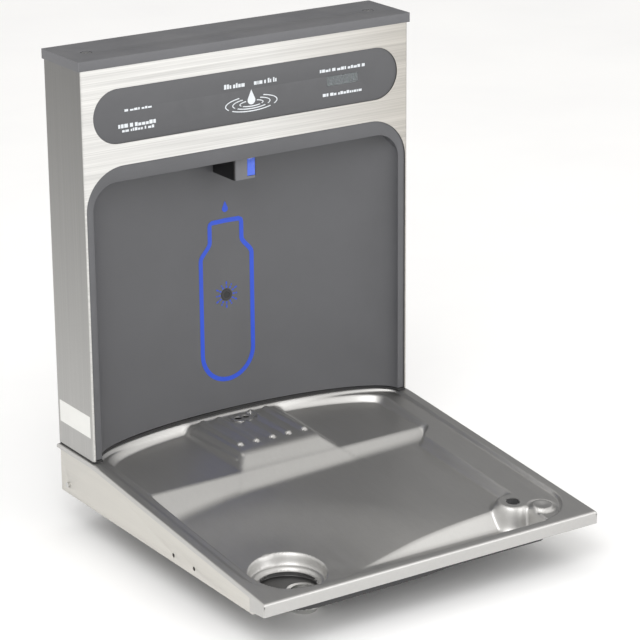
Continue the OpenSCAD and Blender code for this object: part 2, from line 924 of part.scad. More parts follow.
module skirt(s) {
    x = rim_w / 2 - 3;
    front = y_front + 28;
    color("lightgray") placed() difference() {
        union() {
            block(s > 0 ? x - 1.2 : -x, front, -skirt_drop, 1.2, y_wall - front - 4, skirt_drop);
            block(s > 0 ? x - 12 : -x, front, -skirt_drop, 12, y_wall - front - 4, 1.2);
        }
        above(-pan_t - 0.1, 0, rim_fall);
        above(-pan_t - 0.1, 0, 0);
        for (y = [-186, -232]) rod_x(s * x - 5, y, -51.5, 2.6, 10);
        rod_x(s * x - 5, 67, -49, 2.2, 10);
    }
}

module left_skirt() {
    skirt(-1);
}

module right_skirt() {
    skirt(1);
}

module rear_rail() {
    half = rim_w / 2 - 5;
    color("lightgray") placed() difference() {
        union() {
            block(-half, y_wall - 3.2, -skirt_drop, 2 * half, 1.5, skirt_drop - pan_t - 0.1);
            for (s = [-1, 1]) block(s > 0 ? half - 1.2 : -half, y_wall - 35, -skirt_drop + 1.5, 1.2, 32, 44);
        }
        for (x = [-120, 120]) rod_y(x, y_wall - 20, -32, 3.5, 40);
        for (s = [-1, 1]) rod_x(s * half - 5, 67, -49, 2.2, 10);
    }
}

module skirt_screws() {
    x = rim_w / 2 - 3;
    color(steel) placed() for (s = [-1, 1]) {
        rod_x(s > 0 ? x + 0.05 : -x - 1.85, 67, -49, 3.4, 1.8);
        rod_x(s > 0 ? x - 9 : -x - 0.1, 67, -49, 1.9, 9.1);
    }
}

module tower_studs() {
    color(steel) placed() for (x = [-215, 215], y = stud_y) {
        rod(x, y, -14, 2.5, 24);
        block(x > 0 ? x - 6 : x - 13.4, y - 6, gasket_t + 1, 19.4, 12, 1.5);
    }
}

module tower_nuts() {
    color("gray") placed() for (x = [-215, 215], y = stud_y) difference() {
        translate([x, y, -pan_t - 4.1]) cylinder(r = 4.6, h = 4, $fn = 6);
        rod(x, y, -20, 2.5, 30);
    }
}

module bottle_strainer() {
    z = platform_z;
    color(steel) placed() translate([strainer[0], strainer[1], 0]) difference() {
        union() {
            rod(0, 0, z + 0.05, strainer_r, 1.2);
            rod(0, 0, z - 8, strainer_r - 1.6, 8.1);
            rod(0, 0, z - 26, strainer_r - 2.6, 20);
        }
        for (s = [-1, 1]) rod(s * 5.6, 0, z - 5, 4.6, 10);
        rod(0, 0, z - 30, strainer_r - 4, 29);
    }
}

module strainer_nut() {
    color("gray") placed() translate([strainer[0], strainer[1], platform_z - pan_t - 5.6]) difference() {
        cylinder(r = 19, h = 5, $fn = 6);
        translate([0, 0, -1]) cylinder(r = strainer_r - 1.55, h = 8);
    }
}

cup_floor = -87;
spigot = [-120, -290];
spigot_r = 15.9;
// Outside radius of the spigot's threaded neck
thread_r = 17;

module drain_cup() {
    top = floor_min - 10;
    color("silver") placed() difference() {
        union() {
            rod(drain[0], drain[1], cup_floor, 40, top - cup_floor - 1.6);
            rod(drain[0], drain[1], top - 4.7, 48, 1.5);
        }
        rod(drain[0], drain[1], cup_floor + 1.5, 38.5, 20);
        rod(spigot[0], spigot[1], cup_floor - 5, thread_r + 0.1, 20);
    }
}

module drain_gasket() {
    color(shadow) placed() difference() {
        rod(drain[0], drain[1], floor_min - 13.1, 47, 1.6);
        rod(drain[0], drain[1], floor_min - 20, 40.1, 20);
    }
}

module drain_spigot() {
    color("gray") placed() difference() {
        union() {
            rod(spigot[0], spigot[1], -lowest, spigot_r, lowest + cup_floor);
            rod(spigot[0], spigot[1], cup_floor - 12.3, thread_r, 15);
            rod(spigot[0], spigot[1], cup_floor + 1.55, 19.6, 1.6);
        }
        rod(spigot[0], spigot[1], -lowest - 5, spigot_r - 1.5, 60);
    }
}

module drain_nut() {
    color("gray") placed() difference() {
        translate([spigot[0], spigot[1], cup_floor - 12.1]) cylinder(r = 26, h = 12, $fn = 8);
        rod(spigot[0], spigot[1], -lowest, thread_r + 0.05, 60);
    }
}

// ---- which sub-part is drawn ---------------------------------------------------

tower_shell();
back_plate();
top_cap();
cap_screws();
alcove_liner();
liner_clips();
base_gasket();
control_bezel();
bezel_nuts();
panel_icons();
display_window();
display_board();
display_digits();
nozzle_hood();
hood_lens();
light_board();
fill_nozzle();
nozzle_gasket();
nozzle_nut();
aerator();
sensor_body();
sensor_lens();
sensor_nut();
bottle_graphic();
valve_body();
valve_coil();
valve_guide_tube();
valve_plunger();
valve_spring();
valve_bracket();
flow_regulator();
regulator_screw();
inlet_union();
inlet_collet();
union_nut();
valve_collet();
inlet_tube();
link_tube();
outlet_tube();
control_box();
control_lid();
control_board();
power_supply();
wiring_harness();
basin();
left_skirt();
right_skirt();
rear_rail();
skirt_screws();
tower_studs();
tower_nuts();
bottle_strainer();
strainer_nut();
drain_cup();
drain_gasket();
drain_spigot();
drain_nut();
data_label();
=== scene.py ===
"""A wall-hung drinking fountain with a bottle filler, laid out as an add-on and run as a script."""
import json
import math

import bmesh
import bpy
import numpy as np
from bpy.props import FloatProperty, FloatVectorProperty, IntProperty, PointerProperty
from mathutils import Matrix, Vector


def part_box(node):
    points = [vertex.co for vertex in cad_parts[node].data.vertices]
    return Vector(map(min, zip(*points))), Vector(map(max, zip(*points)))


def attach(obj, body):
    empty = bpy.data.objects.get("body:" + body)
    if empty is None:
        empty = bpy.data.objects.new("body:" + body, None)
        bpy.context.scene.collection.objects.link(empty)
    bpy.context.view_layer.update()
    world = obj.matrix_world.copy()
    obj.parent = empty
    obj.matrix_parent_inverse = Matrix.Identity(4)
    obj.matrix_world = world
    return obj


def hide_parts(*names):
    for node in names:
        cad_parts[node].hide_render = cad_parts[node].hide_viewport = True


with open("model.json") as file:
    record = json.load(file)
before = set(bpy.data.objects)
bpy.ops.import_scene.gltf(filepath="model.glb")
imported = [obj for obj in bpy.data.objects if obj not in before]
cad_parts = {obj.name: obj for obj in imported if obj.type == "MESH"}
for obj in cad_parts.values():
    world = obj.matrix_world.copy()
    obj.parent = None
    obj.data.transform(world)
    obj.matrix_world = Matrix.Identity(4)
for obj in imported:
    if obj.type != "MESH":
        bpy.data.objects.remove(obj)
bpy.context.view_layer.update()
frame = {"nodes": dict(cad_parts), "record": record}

bl_info = {
    "name": "Drinking fountain",
    "version": (1, 0, 0),
    "blender": (4, 5, 0),
    "location": "View3D > Sidebar > Fountain",
    "description": "Models the looks of a wall-hung drinking fountain around its packed frame",
    "category": "Object",
}

MM = 0.001
RISE = 108.0  # mm from the origin up to the deck
BACK = 149.0  # mm from the tower's front face back to the origin


def at(x, y, z):
    """A point given in mm from the deck level and the tower's front face, in metres in the row frame."""
    return Vector((x * MM, (y + BACK) * MM, (z + RISE) * MM))


# ---- sizes and colours that a user would change --------------------------------


class BasinSettings(bpy.types.PropertyGroup):
    step: FloatProperty(
        name="Mesh step", description="Distance between the sheet's points on its plain stretches",
        default=3.4 * MM, min=2 * MM, max=8 * MM, unit="LENGTH", subtype="DISTANCE")
    thickness: FloatProperty(
        name="Sheet", description="Thickness of the stamped sheet", default=1.5 * MM, unit="LENGTH",
        subtype="DISTANCE")
    edge: FloatProperty(
        name="Rim bend", description="Outside radius of the turned rim", default=2.6 * MM, unit="LENGTH",
        subtype="DISTANCE")
    steel: FloatVectorProperty(
        name="Steel", description="Base colour of the basin's steel", default=(0.5, 0.495, 0.485), size=3,
        min=0, max=1, subtype="COLOR")


class TowerSettings(bpy.types.PropertyGroup):
    steel: FloatVectorProperty(
        name="Steel", description="Base colour of the tower's steel", default=(0.62, 0.615, 0.6), size=3,
        min=0, max=1, subtype="COLOR")
    plastic: FloatVectorProperty(
        name="Plastic", description="Base colour of the dark mouldings", default=(0.084, 0.085, 0.091),
        size=3, min=0, max=1, subtype="COLOR")
    blue: FloatVectorProperty(
        name="Print", description="Colour of the printed bottle", default=(0.012, 0.06, 0.5), size=3, min=0,
        max=1, subtype="COLOR")


class StageSettings(bpy.types.PropertyGroup):
    lens: FloatProperty(
        name="Lens", description="Focal length of the camera", default=150.3, unit="CAMERA")
    key: FloatProperty(
        name="Key light", description="Power of the key light", default=40.0, min=0, unit="POWER")
    rays: IntProperty(name="Rays", description="Rays of the printed burst", default=12, min=4, max=36)


# ---- small helpers -------------------------------------------------------------


def settings():
    return bpy.context.scene


def deselect():
    bpy.ops.object.select_all(action="DESELECT")


def only(obj):
    """Makes obj the one selected and active object."""
    if bpy.context.object and bpy.context.object.mode != "OBJECT":
        bpy.ops.object.mode_set(mode="OBJECT")
    deselect()
    obj.select_set(True)
    bpy.context.view_layer.objects.active = obj
    return obj


def settle(obj, name):
    """Names obj and applies its transform, so that it sits at the origin."""
    only(obj)
    bpy.ops.object.transform_apply(location=True, rotation=True, scale=True)
    obj.name = name
    obj.data.name = name
    return obj


def apply_modifiers(obj):
    only(obj)
    for m in list(obj.modifiers):
        bpy.ops.object.modifier_apply(modifier=m.name)


def smooth(obj, degrees=35):
    only(obj)
    bpy.ops.object.shade_smooth_by_angle(angle=math.radians(degrees))


def dress(obj, material):
    obj.data.materials.clear()
    obj.data.materials.append(material)
    return obj


def softened(node, name, width, segments=2, degrees=40, shading=35):
    """A copy of a CAD node with its sharp edges rounded, shown in the node's place."""
    source = frame["nodes"][node]
    obj = bpy.data.objects.new(name, source.data.copy())
    bpy.context.scene.collection.objects.link(obj)
    only(obj)
    bm = bmesh.new()
    bm.from_mesh(obj.data)
    bmesh.ops.remove_doubles(bm, verts=bm.verts, dist=1e-6)
    bmesh.ops.dissolve_limit(bm, angle_limit=math.radians(1), verts=bm.verts, edges=bm.edges)
    bm.to_mesh(obj.data)
    bm.free()
    obj.data.name = name
    if width:
        bevel = obj.modifiers.new("edge", "BEVEL")
        bevel.width = width
        bevel.segments = segments
        bevel.limit_method = "ANGLE"
        bevel.angle_limit = math.radians(degrees)
        bevel.use_clamp_overlap = True
        apply_modifiers(obj)
    smooth(obj, shading)
    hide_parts(node)
    return obj


# ---- shader groups -------------------------------------------------------------


def new_group(name, inputs, outputs):
    group = bpy.data.node_groups.new(name, "ShaderNodeTree")
    for label, kind, default in inputs:
        socket = group.interface.new_socket(name=label, in_out="INPUT", socket_type=kind)
        if default is not None:
            socket.default_value = default
    for label, kind in outputs:
        group.interface.new_socket(name=label, in_out="OUTPUT", socket_type=kind)
    return group, group.nodes.new("NodeGroupInput"), group.nodes.new("NodeGroupOutput")


def node(tree, kind, **values):
    n = tree.nodes.new(kind)
    for key, value in values.items():
        setattr(n, key, value)
    return n


def math_node(tree, operation, a, b=None, clamp=False):
    n = node(tree, "ShaderNodeMath", operation=operation, use_clamp=clamp)
    for socket, value in zip(n.inputs, (a, b)):
        if value is None:
            continue
        if isinstance(value, (int, float)):
            socket.default_value = value
        else:
            tree.links.new(value, socket)
    return n.outputs[0]


def remap(tree, value, low, high, to_low, to_high):
    n = node(tree, "ShaderNodeMapRange")
    tree.links.new(value, n.inputs["Value"])
    for key, number in (("From Min", low), ("From Max", high), ("To Min", to_low), ("To Max", to_high)):
        n.inputs[key].default_value = number
    return n.outputs["Result"]


def noise(tree, vector, scale, detail=2.0, roughness=0.5):
    n = node(tree, "ShaderNodeTexNoise")
    tree.links.new(vector, n.inputs["Vector"])
    n.inputs["Scale"].default_value = scale
    n.inputs["Detail"].default_value = detail
    n.inputs["Roughness"].default_value = roughness
    return n.outputs["Fac"]


def brushing_group():
    """Fine parallel scratches along one axis, with slow variation: a mask and a height."""
    g, gin, gout = new_group(
        "Brushing",
        [("Stretch", "NodeSocketVector", (6.0, 900.0, 900.0)), ("Blotch", "NodeSocketFloat", 9.0)],
        [("Grain", "NodeSocketFloat"), ("Blotches", "NodeSocketFloat")])
    coords = node(g, "ShaderNodeTexCoord").outputs["Object"]
    scaled = node(g, "ShaderNodeVectorMath", operation="MULTIPLY")
    g.links.new(coords, scaled.inputs[0])
    g.links.new(gin.outputs["Stretch"], scaled.inputs[1])
    fine = noise(g, scaled.outputs[0], 1.0, 3.0, 0.6)
    coarse = noise(g, scaled.outputs[0], 0.22, 2.0, 0.5)
    grain = math_node(g, "ADD", math_node(g, "MULTIPLY", fine, 0.65), math_node(g, "MULTIPLY", coarse, 0.35))
    blotch = node(g, "ShaderNodeTexNoise")
    g.links.new(coords, blotch.inputs["Vector"])
    g.links.new(gin.outputs["Blotch"], blotch.inputs["Scale"])
    blotch.inputs["Detail"].default_value = 4.0
    g.links.new(grain, gout.inputs["Grain"])
    g.links.new(blotch.outputs["Fac"], gout.inputs["Blotches"])
    return g


def moulding_group():
    """The fine spark-eroded texture of a moulded surface, with faint wiped marks."""
    g, gin, gout = new_group(
        "Moulding", [("Size", "NodeSocketFloat", 900.0)],
        [("Texture", "NodeSocketFloat"), ("Wiped", "NodeSocketFloat")])
    coords = node(g, "ShaderNodeTexCoord").outputs["Object"]
    fine = node(g, "ShaderNodeTexNoise")
    g.links.new(coords, fine.inputs["Vector"])
    g.links.new(gin.outputs["Size"], fine.inputs["Scale"])
    fine.inputs["Detail"].default_value = 3.0
    wiped = noise(g, coords, 14.0, 5.0, 0.6)
    g.links.new(fine.outputs["Fac"], gout.inputs["Texture"])
    g.links.new(wiped, gout.inputs["Wiped"])
    return g


def wear_group():
    """Where edges are rubbed: a mask from the surface's convexity, broken up by noise."""
    g, gin, gout = new_group("Edge wear", [("Amount", "NodeSocketFloat", 0.5)], [("Mask", "NodeSocketFloat")])
    coords = node(g, "ShaderNodeTexCoord").outputs["Object"]
    sharp = node(g, "ShaderNodeNewGeometry").outputs["Pointiness"]
    edge = remap(g, sharp, 0.52, 0.62, 0.0, 1.0)
    broken = remap(g, noise(g, coords, 60.0, 3.0), 0.35, 0.65, 0.3, 1.0)
    mask = math_node(g, "MULTIPLY", math_node(g, "MULTIPLY", edge, broken), gin.outputs["Amount"], clamp=True)
    g.links.new(mask, gout.inputs["Mask"])
    return g


def dust_group():
    """A thin settled film on surfaces that face up."""
    g, gin, gout = new_group("Dust", [("Amount", "NodeSocketFloat", 0.3)], [("Mask", "NodeSocketFloat")])
    normal = node(g, "ShaderNodeNewGeometry").outputs["Normal"]
    split = node(g, "ShaderNodeSeparateXYZ")
    g.links.new(normal, split.inputs[0])
    up = remap(g, split.outputs["Z"], 0.3, 1.0, 0.0, 1.0)
    coords = node(g, "ShaderNodeTexCoord").outputs["Object"]
    patch = remap(g, noise(g, coords, 22.0, 6.0, 0.7), 0.35, 0.75, 0.15, 1.0)
    mask = math_node(g, "MULTIPLY", math_node(g, "MULTIPLY", up, patch), gin.outputs["Amount"], clamp=True)
    g.links.new(mask, gout.inputs["Mask"])
    return g


GROUPS = {}


def group_node(tree, name, **values):
    if not GROUPS:
        GROUPS.update(
            Brushing=brushing_group(), Moulding=moulding_group(), Wear=wear_group(), Dust=dust_group())
    n = node(tree, "ShaderNodeGroup", node_tree=GROUPS[name])
    for key, value in values.items():
        n.inputs[key].default_value = value
    return n


def blank_material(name):
    m = bpy.data.materials.new(name)
    m.use_nodes = True
    tree = m.node_tree
    return m, tree, tree.nodes["Principled BSDF"]


def mix_colour(tree, factor, a, b):
    n = node(tree, "ShaderNodeMix", data_type="RGBA")
    tree.links.new(factor, n.inputs["Factor"])
    for socket, value in ((n.inputs[6], a), (n.inputs[7], b)):
        if isinstance(value, (tuple, list)):
            socket.default_value = (*value[:3], 1.0)
        else:
            tree.links.new(value, socket)
    return n.outputs[2]


def multiply_colour(tree, a, b):
    n = node(tree, "ShaderNodeMix", data_type="RGBA", blend_type="MULTIPLY")
    n.inputs["Factor"].default_value = 1.0
    tree.links.new(a, n.inputs[6])
    tree.links.new(b, n.inputs[7])
    return n.outputs[2]


def bump(tree, height, strength, distance=0.0002):
    n = node(tree, "ShaderNodeBump")
    n.inputs["Strength"].default_value = strength
    n.inputs["Distance"].default_value = distance
    tree.links.new(height, n.inputs["Height"])
    return n.outputs["Normal"]


def shade(colour, k):
    return tuple(min(1.0, c * k) for c in colour)


def steel_material(name, colour, stretch, rough=(0.26, 0.42), grain=0.08, blotch=9.0, dust=0.12):
    m, tree, bsdf = blank_material(name)
    brushed = group_node(tree, "Brushing", Stretch=stretch, Blotch=blotch)
    base = mix_colour(tree, brushed.outputs["Grain"], shade(colour, 0.9), shade(colour, 1.1))
    film = group_node(tree, "Dust", Amount=dust)
    base = mix_colour(tree, film.outputs["Mask"], base, (0.62, 0.6, 0.56))
    tree.links.new(base, bsdf.inputs["Base Color"])
    bsdf.inputs["Metallic"].default_value = 1.0
    mixed = math_node(
        tree, "ADD", math_node(tree, "MULTIPLY", brushed.outputs["Grain"], 0.6),
        math_node(tree, "MULTIPLY", brushed.outputs["Blotches"], 0.4))
    tree.links.new(remap(tree, mixed, 0.3, 0.7, rough[0], rough[1]), bsdf.inputs["Roughness"])
    tree.links.new(bump(tree, brushed.outputs["Grain"], grain), bsdf.inputs["Normal"])
    return m


def tower_steel_material(name, colour):
    """Sheet with its grain along X on the front and along Z on the two sides. The sides are painted darker as
    shade, darkest at the top, and the front is painted darker and warmer towards the right as shade.
    """
    m, tree, bsdf = blank_material(name)
    across = group_node(tree, "Brushing", Stretch=(5.0, 700.0, 700.0), Blotch=5.0)
    upright = group_node(tree, "Brushing", Stretch=(700.0, 700.0, 4.0), Blotch=5.0)
    split = node(tree, "ShaderNodeSeparateXYZ")
    tree.links.new(node(tree, "ShaderNodeNewGeometry").outputs["Normal"], split.inputs[0])
    side = remap(tree, math_node(tree, "ABSOLUTE", split.outputs["X"]), 0.5, 0.8, 0.0, 1.0)
    pick = node(tree, "ShaderNodeMix")
    tree.links.new(side, pick.inputs["Factor"])
    tree.links.new(across.outputs["Grain"], pick.inputs[2])
    tree.links.new(upright.outputs["Grain"], pick.inputs[3])
    grain = remap(tree, pick.outputs[0], 0.36, 0.64, 0.0, 1.0)
    place = node(tree, "ShaderNodeSeparateXYZ")
    tree.links.new(node(tree, "ShaderNodeTexCoord").outputs["Object"], place.inputs[0])
    front = mix_colour(tree, grain, shade(colour, 0.84), shade(colour, 1.12))
    # painted shade: the front sheet turns darker and warmer towards the right
    painted_shade_right = mix_colour(
        tree, remap(tree, place.outputs["X"], 0.02, 0.22, 0.0, 1.0), (1, 1, 1), (0.74, 0.715, 0.68))
    front = multiply_colour(tree, front, painted_shade_right)
    # painted shade: the side panels darker than the front, darkest at the top
    painted_shade_flank = mix_colour(
        tree, remap(tree, place.outputs["Z"], 0.12, 0.58, 0.0, 1.0), shade(colour, 0.74), shade(colour, 0.36))
    painted_shade_flank = multiply_colour(tree, painted_shade_flank, mix_colour(tree, grain, (0.82, 0.82, 0.82), (1, 1, 1)))
    base = mix_colour(tree, side, front, painted_shade_flank)
    tree.links.new(base, bsdf.inputs["Base Color"])
    bsdf.inputs["Metallic"].default_value = 1.0
    tree.links.new(remap(tree, grain, 0.0, 1.0, 0.3, 0.44), bsdf.inputs["Roughness"])
    tree.links.new(bump(tree, grain, 0.1), bsdf.inputs["Normal"])
    return m


def hood_material(name, front, inside):
    """A grey front face, with all other faces painted near black as shade."""
    m, tree, bsdf = blank_material(name)
    texture = group_node(tree, "Moulding", Size=900.0)
    split = node(tree, "ShaderNodeSeparateXYZ")
    tree.links.new(node(tree, "ShaderNodeNewGeometry").outputs["Normal"], split.inputs[0])
    # mask of the forward-facing faces; every other face gets the painted shade colour
    faces = remap(tree, split.outputs["Y"], -0.7, -0.9, 0.0, 1.0)
    grey = mix_colour(tree, texture.outputs["Wiped"], shade(front, 0.9), shade(front, 1.1))
    tree.links.new(mix_colour(tree, faces, inside, grey), bsdf.inputs["Base Color"])
    tree.links.new(remap(tree, texture.outputs["Wiped"], 0.3, 0.7, 0.3, 0.42), bsdf.inputs["Roughness"])
    tree.links.new(bump(tree, texture.outputs["Texture"], 0.08), bsdf.inputs["Normal"])
    return m


def moulded_material(name, colour, rough=(0.42, 0.55), size=900.0, grain=0.15, wear=0.3, dust=0.08, coat=0.0):
    m, tree, bsdf = blank_material(name)
    texture = group_node(tree, "Moulding", Size=size)
    base = mix_colour(tree, texture.outputs["Wiped"], shade(colour, 0.85), shade(colour, 1.15))
    worn = group_node(tree, "Wear", Amount=wear)
    base = mix_colour(tree, worn.outputs["Mask"], base, shade(colour, 1.9))
    film = group_node(tree, "Dust", Amount=dust)
    base = mix_colour(tree, film.outputs["Mask"], base, (0.5, 0.48, 0.45))
    tree.links.new(base, bsdf.inputs["Base Color"])
    tree.links.new(remap(tree, texture.outputs["Wiped"], 0.3, 0.7, *rough), bsdf.inputs["Roughness"])
    tree.links.new(bump(tree, texture.outputs["Texture"], grain), bsdf.inputs["Normal"])
    bsdf.inputs["Coat Weight"].default_value = coat
    return m


def glass_material(name, colour, rough=0.06):
    m, tree, bsdf = blank_material(name)
    texture = group_node(tree, "Moulding", Size=30.0)
    base = mix_colour(tree, texture.outputs["Wiped"], shade(colour, 0.92), shade(colour, 1.08))
    tree.links.new(base, bsdf.inputs["Base Color"])
    tree.links.new(
        remap(tree, texture.outputs["Wiped"], 0.3, 0.7, rough, rough + 0.08), bsdf.inputs["Roughness"])
    bsdf.inputs["Transmission Weight"].default_value = 0.75
    bsdf.inputs["IOR"].default_value = 1.49
    return m


MATERIALS = {}


def materials():
    """Every material, made once, by name."""
    if MATERIALS:
        return MATERIALS
    tower = settings().fountain_tower
    basin = settings().fountain_basin
    plastic = tuple(tower.plastic)
    MATERIALS.update(
        tower=tower_steel_material("tower steel", tuple(tower.steel)),
        basin=steel_material(
            "basin steel", tuple(basin.steel), (900.0, 20.0, 900.0), (0.38, 0.46), 0.03, 6.0, 0.05),
        # the drain cup is bright steel, painted near black as the shade inside the drain hole
        sump=steel_material("sump steel, painted shade", (0.14, 0.14, 0.14), (200.0, 200.0, 40.0), (0.4, 0.5)),
        undercoat=moulded_material("undercoat", (0.05, 0.05, 0.052), (0.75, 0.9), 260.0, 0.6, 0.1, 0.1),
        skirt=steel_material("skirt steel", (0.6, 0.585, 0.55), (700.0, 8.0, 700.0), (0.4, 0.55), 0.1),
        bright=steel_material("bright steel", (0.66, 0.66, 0.65), (300.0, 300.0, 40.0), (0.14, 0.3), 0.05),
        zinc=steel_material("zinc sheet", (0.5, 0.51, 0.52), (60.0, 60.0, 60.0), (0.35, 0.6), 0.05, 45.0),
        fastener=steel_material("plated fastener", (0.55, 0.55, 0.54), (500.0, 500.0, 90.0), (0.22, 0.36)),
        brass=steel_material("machined brass", (0.68, 0.5, 0.24), (600.0, 600.0, 60.0), (0.2, 0.35)),
        plastic=moulded_material("dark moulding", shade(plastic, 0.9)),
        liner=moulded_material("liner moulding", shade(plastic, 1.02), (0.45, 0.56)),
        cap=moulded_material("cap moulding", shade(plastic, 1.25), (0.4, 0.52)),
        # the hood's sides are painted near black as shade
        hood=hood_material("hood moulding", shade(plastic, 1.5), (0.006, 0.006, 0.007)),
        black=moulded_material("black moulding", (0.02, 0.02, 0.022), (0.35, 0.5)),
        grey=moulded_material("grey moulding", (0.3, 0.31, 0.32)),
        white=moulded_material("white moulding", (0.72, 0.72, 0.7)),
        rubber=moulded_material("soft rubber", (0.016, 0.016, 0.017), (0.6, 0.8), 500.0, 0.25, 0.1, 0.15),
        pale=moulded_material("pale print", (0.6, 0.63, 0.66), (0.4, 0.5), 1500.0, 0.03, 0.0, 0.0),
        blue=moulded_material("blue print", tuple(tower.blue), (0.32, 0.42), 1500.0, 0.03, 0.0, 0.0),
        lens=moulded_material("blue lens", (0.03, 0.1, 0.62), (0.08, 0.15), 60.0, 0.02, 0.0, 0.0, 0.8),
        eye=moulded_material("sensor window", (0.004, 0.004, 0.006), (0.25, 0.35), 60.0, 0.01, 0.0, 0.0, 0.1),
        window=glass_material("counter window", (0.35, 0.38, 0.4)),
        board=moulded_material("circuit board", (0.02, 0.12, 0.05), (0.3, 0.42), 160.0, 0.3),
        tube=moulded_material("water tube", (0.05, 0.2, 0.6), (0.18, 0.3), 80.0, 0.04),
        case=moulded_material("powder coat", (0.06, 0.06, 0.065), (0.45, 0.6), 700.0, 0.4),
        cable=moulded_material("cable sheath", (0.02, 0.02, 0.02), (0.45, 0.6), 300.0, 0.1),
        label=moulded_material("label stock", (0.66, 0.66, 0.64), (0.4, 0.5), 900.0, 0.03, 0.0, 0.05),
    )
    return MATERIALS


FINISH = {
    "stainless": "tower", "skirt_steel": "skirt", "bright_steel": "bright", "galvanised": "zinc",
    "fastener": "fastener", "dark_plastic": "plastic", "black_plastic": "black", "grey_plastic": "grey",
    "white_plastic": "white", "gasket": "rubber", "pale_print": "pale", "blue_print": "blue",
    "blue_lens": "lens", "dark_lens": "eye", "window": "window", "circuit_board": "board", "brass": "brass",
    "water_tube": "tube", "painted_case": "case", "cable": "cable", "label_stock": "label",
}


# ---- the stamped basin ---------------------------------------------------------

RIM_X, RIM_FRONT, RIM_BACK = 233.5, -386.0, 88.0
FALL = math.tan(math.radians(5.59))
DRAIN, BOSS, PAD, STRAINER, INLET = (-133, -277), (165, -311), (188, -339), (2, 36), (190, 58)
STUDS = [(x, y) for x in (-215, 215) for y in (36, 74)]


def soft_min(a, b, k):
    h = np.clip(0.5 + 0.5 * (b - a) / k, 0, 1)
    return b + (a - b) * h - k * h * (1 - h)


def soft_max(a, b, k):
    return -soft_min(-a, -b, k)


def ease(t):
    t = np.clip(t, 0, 1)
    return t * t * (3 - 2 * t)


def outside_ellipse(x, y, a, b):
    """About how far a point is outside a half ellipse, negative inside."""
    q = np.sqrt((x / a) ** 2 + (y / b) ** 2)
    slope = np.sqrt((x / a ** 2) ** 2 + (y / b ** 2) ** 2) / np.maximum(q, 1e-6)
    return (q - 1) / np.maximum(slope, 1e-6)


def outside_box(x, y, left, right, front, radius_left, radius_right):
    """How far a point is outside a box open towards the back, with round front corners."""
    middle = (left + right) / 2
    r = np.where(x < middle, radius_left, radius_right)
    half = (right - left) / 2
    dx = np.abs(x - middle) - half + r
    dy = front + r - y
    return np.where(
        (dx > 0) & (dy > 0), np.hypot(np.maximum(dx, 0), np.maximum(dy, 0)) - r, np.maximum(dx, dy) - r)


BORDER_DROP = 4.0
BORDER_X, BORDER_FRONT, BORDER_BACK = 219, -371, 56
CORNER = 54
LEDGE_LEFT, LEDGE_FRONT, LEDGE_STEP = 204, 173, 22
FLOOR_LOW, CHANNEL, PLATFORM = -67.5, -64.0, -2.0
PLATFORM_HALF, PLATFORM_SIDE, PLATFORM_X = 57, 0.75, -2
RIB_PITCH, RIB_RADIUS, RIB_SINK, RIB_FRONT, RIB_BACK = 23.3, 6, 1.9, -40, 46


